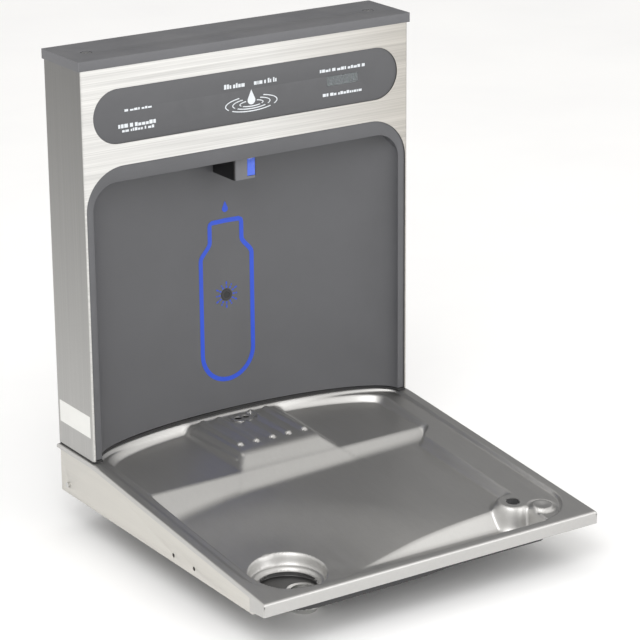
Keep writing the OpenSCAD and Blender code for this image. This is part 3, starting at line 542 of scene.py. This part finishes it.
def sheet_height(x, y):
    """Height in mm of the stamped sheet's upper face above the deck."""
    rim = soft_min(y * FALL, np.zeros_like(y), 1.2)
    border = np.where(
        y < 0, outside_box(x, y, -BORDER_X, BORDER_X, BORDER_FRONT, CORNER, CORNER),
        outside_ellipse(x, np.maximum(y, 0), BORDER_X, BORDER_BACK))
    ledge = rim - BORDER_DROP * ease(0.5 - border / 3.4)
    right = LEDGE_FRONT + LEDGE_STEP * ease((y + 117) / 27)
    right = np.where(y < BOSS[1], 170 + 3 * ease((y - BOSS[1] + 20) / 20), right)
    bowl = np.where(
        y < 0, outside_box(x, y, -LEDGE_LEFT, right, BORDER_FRONT, CORNER, 6),
        outside_ellipse(x + 4.5, np.maximum(y, 0), 199.5, 54))
    shelf = -14.1 + 0.0404 * y
    ramp = 36.8 + 0.649 * y
    fall_right = -23.4 + 0.022 * x + 0.081 * y
    fall_left = soft_max(16.8 + 0.1446 * x + 0.2314 * y, np.full_like(x, FLOOR_LOW), 5)
    step = soft_max(312.7 + 0.022 * x + 1.19 * y, np.full_like(x, CHANNEL), 2.5)
    floor = soft_min(soft_min(fall_right, fall_left, 14), step, 1.4)
    low = soft_min(shelf, soft_max(ramp, floor, 4), 1.6)
    along = -1.5 + PLATFORM_SIDE * PLATFORM_HALF
    table = np.full_like(x, PLATFORM)
    cx = x - PLATFORM_X
    for side in (1, -1):
        table = soft_min(table, along + side * PLATFORM_SIDE * cx + 0.05 * y, 1.2)
    table = soft_min(table, ramp, 4.5)
    low = soft_max(low, table, 1.8)
    for c in (-60.5, -68.5):
        ridge = np.clip(1 - np.abs(cx - c + 0.06 * y) / 2.6, 0, 1) * ease((y + 66) / 6) * ease((44 - y) / 6)
        low = low + 1.5 * ridge
    for i in range(-2, 3):
        past = np.maximum(np.maximum(RIB_FRONT - y, y - RIB_BACK), 0)
        reach = np.hypot(cx - RIB_PITCH * i, past)
        rib = PLATFORM - RIB_SINK + np.sqrt(np.maximum(RIB_RADIUS ** 2 - reach ** 2, 0))
        near = np.hypot(x - STRAINER[0], y - STRAINER[1])
        low = np.where((reach < RIB_RADIUS) & (near > 18.5), soft_max(low, rib, 0.4), low)
    r = np.hypot(x - DRAIN[0], y - DRAIN[1])
    low = low - 0.5 * np.maximum(low + 66.5, 0) * ease(1 - (r - 46) / 130)
    seat = -79 + 4.2 * ease((r - 35.5) / 4) + 0.2 * np.maximum(r - 39, 0) + np.maximum(r - 43.2, 0) * 2.6
    low = np.where(r < 60, soft_min(low, seat, 1.0), low)
    z = ledge + (low - ledge) * ease(0.5 - bowl / 8.0)
    r = np.hypot(x - BOSS[0], y - BOSS[1])
    boss = rim - BORDER_DROP
    side = ease(1 - (r - 16.5) / 13) ** 1.4
    z = np.where(r < 29, z + (np.maximum(boss, z) - z) * side, z)
    r = np.hypot(x - PAD[0], y - PAD[1])
    lift = 3.2 * ease(0.5 - (r - 13) / 2.4) - 1.4 * ease(1 - r / 11) - 1.2 * ease(1 - np.abs(r - 16.5) / 2.5)
    z = z + np.where(z > rim - 6, lift, 0.0)
    return z


# Stretches of X and of Y where the sheet turns sharply, with the share of the mesh step used there.
FINE_X = [(-214, -188, 0.5), (-184, -84, 0.5), (-78, 74, 0.54), (140, 222, 0.5)]
FINE_Y = [(-376, -228, 0.5), (-50, -36, 0.6), (6, 60, 0.4)]


def spread(low, high, step, fine):
    """Places from low to high, a step apart, and closer in the fine stretches."""
    places, at_place = [low], low
    for start, end, share in fine + [(high, high, 1.0)]:
        for stop, gap in ((start, step), (end, step * share)):
            count = max(1, round((stop - at_place) / gap)) if stop > at_place else 0
            places += [at_place + (stop - at_place) * (k + 1) / count for k in range(count)]
            at_place = max(stop, at_place)
    return places


def turned(radius, drop):
    """Steps over a turned edge: (how far out, how far down) past where the flat ends."""
    arc = [(radius * math.sin(a), radius * (1 - math.cos(a))) for a in np.linspace(0, math.pi / 2, 6)[1:]]
    return arc + [(radius, radius + (drop - radius) * k / 3) for k in (1, 2, 3)]


def sheet_normal(points):
    """The stamped sheet's own normals at points in metres, and which points lie off its turned edge."""
    x, y = points[:, 0] / MM, points[:, 1] / MM - BACK
    h = 1.6
    slope_x = (sheet_height(x + h, y) - sheet_height(x - h, y)) / (2 * h)
    slope_y = (sheet_height(x, y + h) - sheet_height(x, y - h)) / (2 * h)
    normals = np.stack([-slope_x, -slope_y, np.ones_like(x)], axis=1)
    inside = (np.abs(x) < RIM_X - 3.4) & (y > RIM_FRONT + 3.4) & (y < RIM_BACK - 3.4)
    return normals / np.linalg.norm(normals, axis=1)[:, None], inside


def true_normals(obj, rule, least):
    """Shades obj by a surface rule, where a face already points nearly that way or nearly opposite."""
    mesh = obj.data
    count = len(mesh.loops)
    corner = np.empty(count, dtype=np.int32)
    mesh.loops.foreach_get("vertex_index", corner)
    points = np.empty(len(mesh.vertices) * 3)
    mesh.vertices.foreach_get("co", points)
    points = points.reshape(-1, 3)
    shown = np.empty(count * 3)
    mesh.corner_normals.foreach_get("vector", shown)
    shown = shown.reshape(-1, 3)
    sizes = np.empty(len(mesh.polygons), dtype=np.int32)
    mesh.polygons.foreach_get("loop_total", sizes)
    flat = np.empty(len(mesh.polygons) * 3)
    mesh.polygons.foreach_get("normal", flat)
    flat = np.repeat(flat.reshape(-1, 3), sizes, axis=0)
    normals, allowed = rule(points)
    wanted = normals[corner]
    agree = np.einsum("ij,ij->i", wanted, flat)
    wanted = wanted * np.sign(agree)[:, None]
    use = allowed[corner] & (np.abs(agree) > least)
    shown[use] = wanted[use]
    mesh.normals_split_custom_set(shown.tolist())


TAB_LENGTH, TAB_DROP = 30.0, 15.4


def add_corner_tab(obj, sign, thickness):
    """The folded tab that closes the apron's end down to the skirt."""
    front, back = RIM_FRONT + 0.2, RIM_FRONT + TAB_LENGTH
    outer = sign * (RIM_X - 0.2)
    inner = outer - sign * thickness / MM
    bm = bmesh.new()
    bm.from_mesh(obj.data)
    ends = []
    for y, drop in ((front, TAB_DROP), (back, TAB_DROP + 6)):
        top, low = y * FALL - 3.2, y * FALL - drop
        ends.append([bm.verts.new(at(*c)) for c in (
            (outer, y, top), (inner, y, top), (inner, y, low), (outer, y, low))])
    a, b = ends
    made = [bm.faces.new(a), bm.faces.new(b[::-1])]
    for i in range(4):
        j = (i + 1) % 4
        made.append(bm.faces.new((a[i], b[i], b[j], a[j])))
    bmesh.ops.recalc_face_normals(bm, faces=made)
    bm.to_mesh(obj.data)
    bm.free()


def add_hole_lip(obj, centre, radius, depth, thickness):
    """The turned-down lip of a punched hole, coated inside like the underside."""
    level = float(sheet_height(np.array([centre[0] + radius]), np.array([float(centre[1])]))[0])
    turns = 36
    inner = radius - 0.1
    outer = inner + thickness
    section = ((inner, level - 0.4), (inner, level - depth), (outer, level - depth), (outer, level - 1.2))
    angles = [2 * math.pi * i / turns for i in range(turns)]
    bm = bmesh.new()
    bm.from_mesh(obj.data)
    rings = []
    for r, z in section:
        places = [(centre[0] + r * math.cos(a), centre[1] + r * math.sin(a), z) for a in angles]
        rings.append([bm.verts.new(at(*place)) for place in places])
    made = []
    for a, b in zip(rings, rings[1:] + rings[:1]):
        for i in range(turns):
            j = (i + 1) % turns
            made.append(bm.faces.new((a[i], a[j], b[j], b[i])))
    bmesh.ops.recalc_face_normals(bm, faces=made)
    for face in made:
        face.material_index = 1
    bm.to_mesh(obj.data)
    bm.free()


def make_basin(context):
    basin = context.scene.fountain_basin
    step = basin.step / MM
    r = basin.edge / MM
    xs = [(x, 0.0) for x in spread(-RIM_X + r, RIM_X - r, step, FINE_X)]
    side = turned(r, 5.0)
    xs = [(-RIM_X + r - out, down) for out, down in reversed(side)] + xs + [
        (RIM_X - r + out, down) for out, down in side]
    ys = [(y, 0.0) for y in spread(RIM_FRONT + r, RIM_BACK - r, step, FINE_Y)]
    front, back = turned(r, 15.5), turned(r, 5.0)
    ys = [(RIM_FRONT + r - out, down) for out, down in reversed(front)] + ys + [
        (RIM_BACK - r + out, down) for out, down in back]
    gx, gy = np.meshgrid([p[0] for p in xs], [p[0] for p in ys])
    dx, dy = np.meshgrid([p[1] for p in xs], [p[1] for p in ys])
    holes = [(*DRAIN, 35.5), (*BOSS, 9.0), (*STRAINER, 13.0), (*INLET, 8.6)] + [(*s, 2.6) for s in STUDS]
    for hx, hy, hr in holes:
        d = np.hypot(gx - hx, gy - hy)
        near = np.abs(d - hr) < step * 0.3
        k = np.where(near, hr / np.maximum(d, 1e-6), 1.0)
        gx, gy = hx + (gx - hx) * k, hy + (gy - hy) * k
    gz = sheet_height(gx, gy) - np.maximum(dx, dy)
    columns = gx.shape[1]
    points = np.stack([gx, gy + BACK, gz + RISE], axis=-1).reshape(-1, 3) * MM
    faces = []
    cx = (gx[:-1, :-1] + gx[1:, 1:]) / 2
    cy = (gy[:-1, :-1] + gy[1:, 1:]) / 2
    keep = np.ones_like(cx, dtype=bool)
    for hx, hy, hr in holes:
        keep &= np.hypot(cx - hx, cy - hy) > hr - 0.05 * step
    flat_x, flat_y = dx[:-1, :-1] + dx[1:, 1:], dy[:-1, :-1] + dy[1:, 1:]
    keep &= ~((flat_x > 2.1 * r) & (flat_y > 2.1 * r))
    for j, i in zip(*np.nonzero(keep)):
        k = j * columns + i
        faces.append((k, k + 1, k + columns + 1, k + columns))
    mesh = bpy.data.meshes.new("basin_sheet")
    mesh.from_pydata(points.tolist(), [], faces)
    obj = bpy.data.objects.new("basin_sheet", mesh)
    context.scene.collection.objects.link(obj)
    only(obj)
    bm = bmesh.new()
    bm.from_mesh(mesh)
    bmesh.ops.delete(bm, geom=[v for v in bm.verts if not v.link_faces], context="VERTS")
    bmesh.ops.remove_doubles(bm, verts=bm.verts, dist=2e-5)
    bm.to_mesh(mesh)
    bm.free()
    solid = obj.modifiers.new("sheet", "SOLIDIFY")
    solid.thickness = basin.thickness
    solid.offset = -1.0
    solid.material_offset = 1
    obj.data.materials.append(materials()["basin"])
    obj.data.materials.append(materials()["undercoat"])
    apply_modifiers(obj)
    for sign in (-1, 1):
        add_corner_tab(obj, sign, basin.thickness)
    add_hole_lip(obj, BOSS, 9.0, 8.0, 1.2)
    smooth(obj, 50)
    true_normals(obj, sheet_normal, 0.5)
    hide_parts("basin")
    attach(obj, "fountain")
    return obj


# ---- printed marks -------------------------------------------------------------

FILM = 0.25
STROKE = 2.9  # mm either side of the bottle's outline
SENSOR_Z = 154.5
ALCOVE_A, ALCOVE_B = 217.5, 64.0


def bottle_outline():
    """The right half of the bottle's outline from the foot up, as points (x, z) in mm."""
    foot = [(37 * math.sin(a), 81 - 38 * math.cos(a)) for a in np.linspace(0, math.pi / 2, 12)]
    shoulder = [(37 - 14 * ease(t), 204 + 22 * t) for t in np.linspace(0, 1, 9)]
    mouth = [(23, 246), (22.2, 249), (19.5, 250.6), (0, 251)]
    return foot + [(37, 203)] + shoulder + mouth


def offset_loop(loop, distance):
    """The closed loop moved outwards along its own normals."""
    p = np.array(loop)
    along = np.roll(p, -1, axis=0) - np.roll(p, 1, axis=0)
    along /= np.linalg.norm(along, axis=1)[:, None]
    return p + np.stack([along[:, 1], -along[:, 0]], axis=1) * distance


def film_piece(name, strips, surface, material, node_name):
    """Flat shapes of the x-z plane laid as thin film on the surface y(x)."""
    bm = bmesh.new()
    for outer, inner in strips:
        outlines = [ring for ring in (outer, inner) if ring is not None]
        rings = [[bm.verts.new(at(x, surface(x), z)) for x, z in ring] for ring in outlines]
        if len(rings) == 1:
            bm.faces.new(rings[0])
            continue
        a, b = rings
        for i in range(len(a)):
            j = (i + 1) % len(a)
            bm.faces.new((a[i], a[j], b[j], b[i]))
    mesh = bpy.data.meshes.new(name)
    bm.to_mesh(mesh)
    bm.free()
    obj = bpy.data.objects.new(name, mesh)
    bpy.context.scene.collection.objects.link(obj)
    solid = obj.modifiers.new("film", "SOLIDIFY")
    solid.thickness = FILM * MM
    solid.offset = 0.0
    apply_modifiers(obj)
    bpy.ops.object.mode_set(mode="EDIT")
    bpy.ops.mesh.select_all(action="SELECT")
    bpy.ops.mesh.normals_make_consistent(inside=False)
    bpy.ops.object.mode_set(mode="OBJECT")
    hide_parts(node_name)
    dress(obj, materials()[material])
    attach(obj, "fountain")
    return obj


def drop_outline(x, z, r, tall=2.4):
    angles = np.radians(np.linspace(155, 385, 20))
    return [(x + r * math.cos(a), z + r * math.sin(a)) for a in angles] + [(x, z + tall * r)]


def make_bottle_print(context):
    half = bottle_outline()
    loop = half + [(-x, z) for x, z in half[-2:0:-1]]
    strips = [(offset_loop(loop, STROKE).tolist(), offset_loop(loop, -STROKE).tolist())]
    strips.append((drop_outline(0, 266, 4.2), None))
    rays = context.scene.fountain_stage.rays
    for i in range(rays):
        a = 2 * math.pi * i / rays
        c, d = math.cos(a), math.sin(a)
        for near, far in ((9.0, 12.0), (13.4, 15.2 + 2.0 * (i % 2))):
            corners = ((near, -1), (far, -0.8), (far, 0.8), (near, 1))
            strips.append(([(c * u - d * v, SENSOR_Z + d * u + c * v) for u, v in corners], None))

    def wall(x):
        return ALCOVE_B * math.sqrt(1 - (x / ALCOVE_A) ** 2) - 0.12

    return film_piece("bottle_print", strips, wall, "blue", "bottle_graphic")


def alcove_normal(points):
    """The alcove wall's normals, and which points lie on it."""
    x, y = points[:, 0] / MM, points[:, 1] / MM - BACK
    normals = np.stack([-x / ALCOVE_A ** 2, -y / ALCOVE_B ** 2, np.zeros_like(x)], axis=1)
    on_wall = np.abs((x / ALCOVE_A) ** 2 + (y / ALCOVE_B) ** 2 - 1) < 0.02
    return normals / np.maximum(np.linalg.norm(normals, axis=1), 1e-9)[:, None], on_wall & (y > 1)


def dashes(x0, x1, z, height, seed):
    """A row of plain dashes of uneven length, as a line of marks seen from afar."""
    out, x, k = [], x0, seed
    while x < x1 - 1.5:
        k = (k * 37 + 11) % 101
        w = min(1.6 + 3.4 * k / 101, x1 - x)
        lift = 0.35 * height * ((k // 3) % 2)
        out.append(([(x, z - height / 2), (x + w, z - height / 2), (x + w, z + height / 2 + lift),
                     (x, z + height / 2 + lift)], None))
        x += w + (0.9 if k % 5 else 2.6)
    return out


def ripple(x, z, wide, tall, width, low, high):
    """A stretch of an elliptic ring, as short flat pieces end to end."""
    angles = np.radians(np.linspace(low, high, 22))

    def place(a, inset):
        return x + (wide - inset) * math.cos(a), z + (tall - inset) * math.sin(a)

    return [([place(a, 0), place(b, 0), place(b, width), place(a, width)], None)
            for a, b in zip(angles[:-1], angles[1:])]


def make_panel_marks(context):
    low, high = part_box("panel_icons")
    y = low[1] / MM - BACK + 0.1
    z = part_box("display_window")
    middle = ((z[0][2] + z[1][2]) / 2) / MM - RISE
    right = ((z[0][0] + z[1][0]) / 2) / MM
    strips = dashes(-172, -134, middle + 5, 2.0, 5)
    strips += dashes(-181, -130, middle - 13.5, 3.4, 17) + dashes(-176, -133, middle - 19, 2.6, 23)
    strips += dashes(-36, -4, middle + 13, 4.2, 31) + dashes(6, 38, middle + 13, 4.2, 7)
    strips += [(drop_outline(2, middle - 7, 5.4), None)]
    for wide, tall in ((37, 10), (27, 7), (17, 4.2)):
        for low_angle, high_angle in ((118, 208), (332, 422), (222, 318)):
            strips += ripple(2, middle - 11, wide, tall, 1.3, low_angle, high_angle)
    strips += dashes(right - 33, right + 33, middle + 13.5, 2.8, 3)
    strips += dashes(right - 29, right + 29, middle - 17, 2.8, 13)
    return film_piece("panel_marks", strips, lambda x: y, "pale", "panel_icons")


# ---- operators -----------------------------------------------------------------


class FOUNTAIN_OT_finishes(bpy.types.Operator):
    """Give every CAD piece its material"""
    bl_idname = "fountain.finishes"
    bl_label = "Finishes"

    def execute(self, context):
        slots = {s["node"]: s["material_slot"] for s in frame["record"]["subparts"]}
        for name, obj in frame["nodes"].items():
            obj.data.materials.clear()
            obj.data.materials.append(materials()[FINISH[slots[name]]])
        return {"FINISHED"}


class FOUNTAIN_OT_basin(bpy.types.Operator):
    """Model the stamped basin"""
    bl_idname = "fountain.basin"
    bl_label = "Basin"

    def execute(self, context):
        make_basin(context)
        return {"FINISHED"}


class FOUNTAIN_OT_prints(bpy.types.Operator):
    """Lay the printed bottle and the panel's plain marks"""
    bl_idname = "fountain.prints"
    bl_label = "Prints"

    def execute(self, context):
        make_bottle_print(context)
        make_panel_marks(context)
        return {"FINISHED"}


SOFTENED = [
    # node, piece, edge radius in mm, segments, material, slot
    ("top_cap", "cap_moulding", 1.6, 3, "cap", "dark_plastic"),
    ("alcove_liner", "liner_moulding", 0.7, 2, "liner", "dark_plastic"),
    ("control_bezel", "panel_moulding", 0.35, 2, "plastic", "dark_plastic"),
    ("nozzle_hood", "hood_moulding", 0.8, 3, "hood", "dark_plastic"),
    ("hood_lens", "lens_moulding", 0.5, 2, "lens", "blue_lens"),
    # the sump material is painted dark as shade
    ("drain_cup", "drain_sump", 0.5, 2, "sump", "bright_steel"),
    ("bottle_strainer", "strainer_plate", 0.3, 2, "basin", "bright_steel"),
    ("drain_nut", "spigot_nut", 0.8, 2, "white", "white_plastic"),
    ("left_skirt", "skirt_left", 0.5, 2, "skirt", "skirt_steel"),
    ("right_skirt", "skirt_right", 0.5, 2, "skirt", "skirt_steel"),
]


class FOUNTAIN_OT_mouldings(bpy.types.Operator):
    """Round the edges of the mouldings and the small sheet pieces"""
    bl_idname = "fountain.mouldings"
    bl_label = "Mouldings"

    def execute(self, context):
        for source, name, width, segments, material, slot in SOFTENED:
            obj = softened(source, name, width * MM, segments)
            dress(obj, materials()[material])
            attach(obj, "fountain")
            if source == "alcove_liner":
                true_normals(obj, alcove_normal, 0.97)
        return {"FINISHED"}


CAMERA_AT = (-1.64531, -2.49644, 1.30294)
CAMERA_RIGHT = (0.83365, -0.55224, -0.00768)
CAMERA_UP = (0.18354, 0.26391, 0.94692)
CAMERA_FORWARD = (0.52090, 0.79081, -0.32136)


def area_light(name, location, target, size, power):
    data = bpy.data.lights.new(name, "AREA")
    data.shape = "RECTANGLE"
    data.size = size
    data.size_y = size
    data.energy = power
    obj = bpy.data.objects.new(name, data)
    bpy.context.scene.collection.objects.link(obj)
    obj.location = location
    obj.rotation_euler = (Vector(target) - Vector(location)).to_track_quat("-Z", "Y").to_euler()
    return obj


def soft_box(tree):
    """A white studio with a grey card low behind the object, for the steel to reflect."""
    background = tree.nodes["Background"]
    direction = node(tree, "ShaderNodeSeparateXYZ")
    tree.links.new(node(tree, "ShaderNodeTexCoord").outputs["Generated"], direction.inputs[0])
    behind = remap(tree, direction.outputs["Y"], -0.15, 0.5, 0.0, 1.0)
    low = remap(tree, direction.outputs["Z"], 0.74, 0.95, 1.0, 0.0)
    right = remap(tree, direction.outputs["X"], -0.2, 0.15, 0.0, 1.0)
    card = math_node(tree, "MULTIPLY", math_node(tree, "MULTIPLY", behind, low), right, clamp=True)
    colour = mix_colour(tree, card, (1.0, 0.99, 0.97), (0.2, 0.2, 0.205))
    tree.links.new(colour, background.inputs["Color"])
    background.inputs["Strength"].default_value = 1.12


class FOUNTAIN_OT_stage(bpy.types.Operator):
    """Set the floor, the lights and the camera"""
    bl_idname = "fountain.stage"
    bl_label = "Stage"

    def execute(self, context):
        scene = context.scene
        stage = scene.fountain_stage
        bpy.ops.mesh.primitive_plane_add(size=14, location=(0, 0, 0))
        floor = settle(context.object, "floor")
        m, tree, bsdf = blank_material("pale floor")
        coords = node(tree, "ShaderNodeTexCoord").outputs["Object"]
        tone = remap(tree, noise(tree, coords, 3.0, 4.0), 0.3, 0.7, 0.0, 1.0)
        tree.links.new(
            mix_colour(tree, tone, (0.93, 0.93, 0.935), (0.96, 0.96, 0.96)), bsdf.inputs["Base Color"])
        bsdf.inputs["Roughness"].default_value = 0.7
        floor.data.materials.append(m)
        world = bpy.data.worlds.new("studio")
        scene.world = world
        world.use_nodes = True
        soft_box(world.node_tree)
        area_light("key", (-1.6, -1.6, 2.4), (0, 0, 0.3), 1.6, stage.key)
        area_light("front fill", (1.4, -2.6, 1.3), (0, 0, 0.3), 1.8, stage.key * 0.5)
        camera_data = bpy.data.cameras.new("camera")
        camera_data.sensor_width = 36.0
        camera_data.lens = stage.lens
        camera_data.clip_end = 50.0
        camera = bpy.data.objects.new("camera", camera_data)
        scene.collection.objects.link(camera)
        right, up, forward = (Vector(v).normalized() for v in (CAMERA_RIGHT, CAMERA_UP, CAMERA_FORWARD))
        turn = Matrix((right, up, -forward)).transposed().to_4x4()
        camera.matrix_world = Matrix.Translation(CAMERA_AT) @ turn
        scene.camera = camera
        scene.view_settings.view_transform = "Standard"
        return {"FINISHED"}


class FOUNTAIN_PT_panel(bpy.types.Panel):
    """The fountain's pieces"""
    bl_label = "Drinking fountain"
    bl_idname = "FOUNTAIN_PT_panel"
    bl_space_type = "VIEW_3D"
    bl_region_type = "UI"
    bl_category = "Fountain"

    def draw(self, context):
        layout = self.layout
        for group in ("fountain_basin", "fountain_tower", "fountain_stage"):
            owner = getattr(context.scene, group)
            for key in owner.__annotations__:
                layout.prop(owner, key)
        for operator in OPERATORS:
            layout.operator(operator.bl_idname)


OPERATORS = (
    FOUNTAIN_OT_finishes, FOUNTAIN_OT_basin, FOUNTAIN_OT_prints, FOUNTAIN_OT_mouldings, FOUNTAIN_OT_stage)
SETTINGS = (
    ("fountain_basin", BasinSettings), ("fountain_tower", TowerSettings), ("fountain_stage", StageSettings))
CLASSES = tuple(c for _, c in SETTINGS) + OPERATORS + (FOUNTAIN_PT_panel,)


def register():
    for c in CLASSES:
        bpy.utils.register_class(c)
    for name, c in SETTINGS:
        setattr(bpy.types.Scene, name, PointerProperty(type=c))


def unregister():
    for name, _ in SETTINGS:
        delattr(bpy.types.Scene, name)
    for c in reversed(CLASSES):
        bpy.utils.unregister_class(c)


def main():
    register()
    bpy.ops.fountain.finishes()
    bpy.ops.fountain.basin()
    bpy.ops.fountain.prints()
    bpy.ops.fountain.mouldings()
    bpy.ops.fountain.stage()


if __name__ == "__main__":
    main()
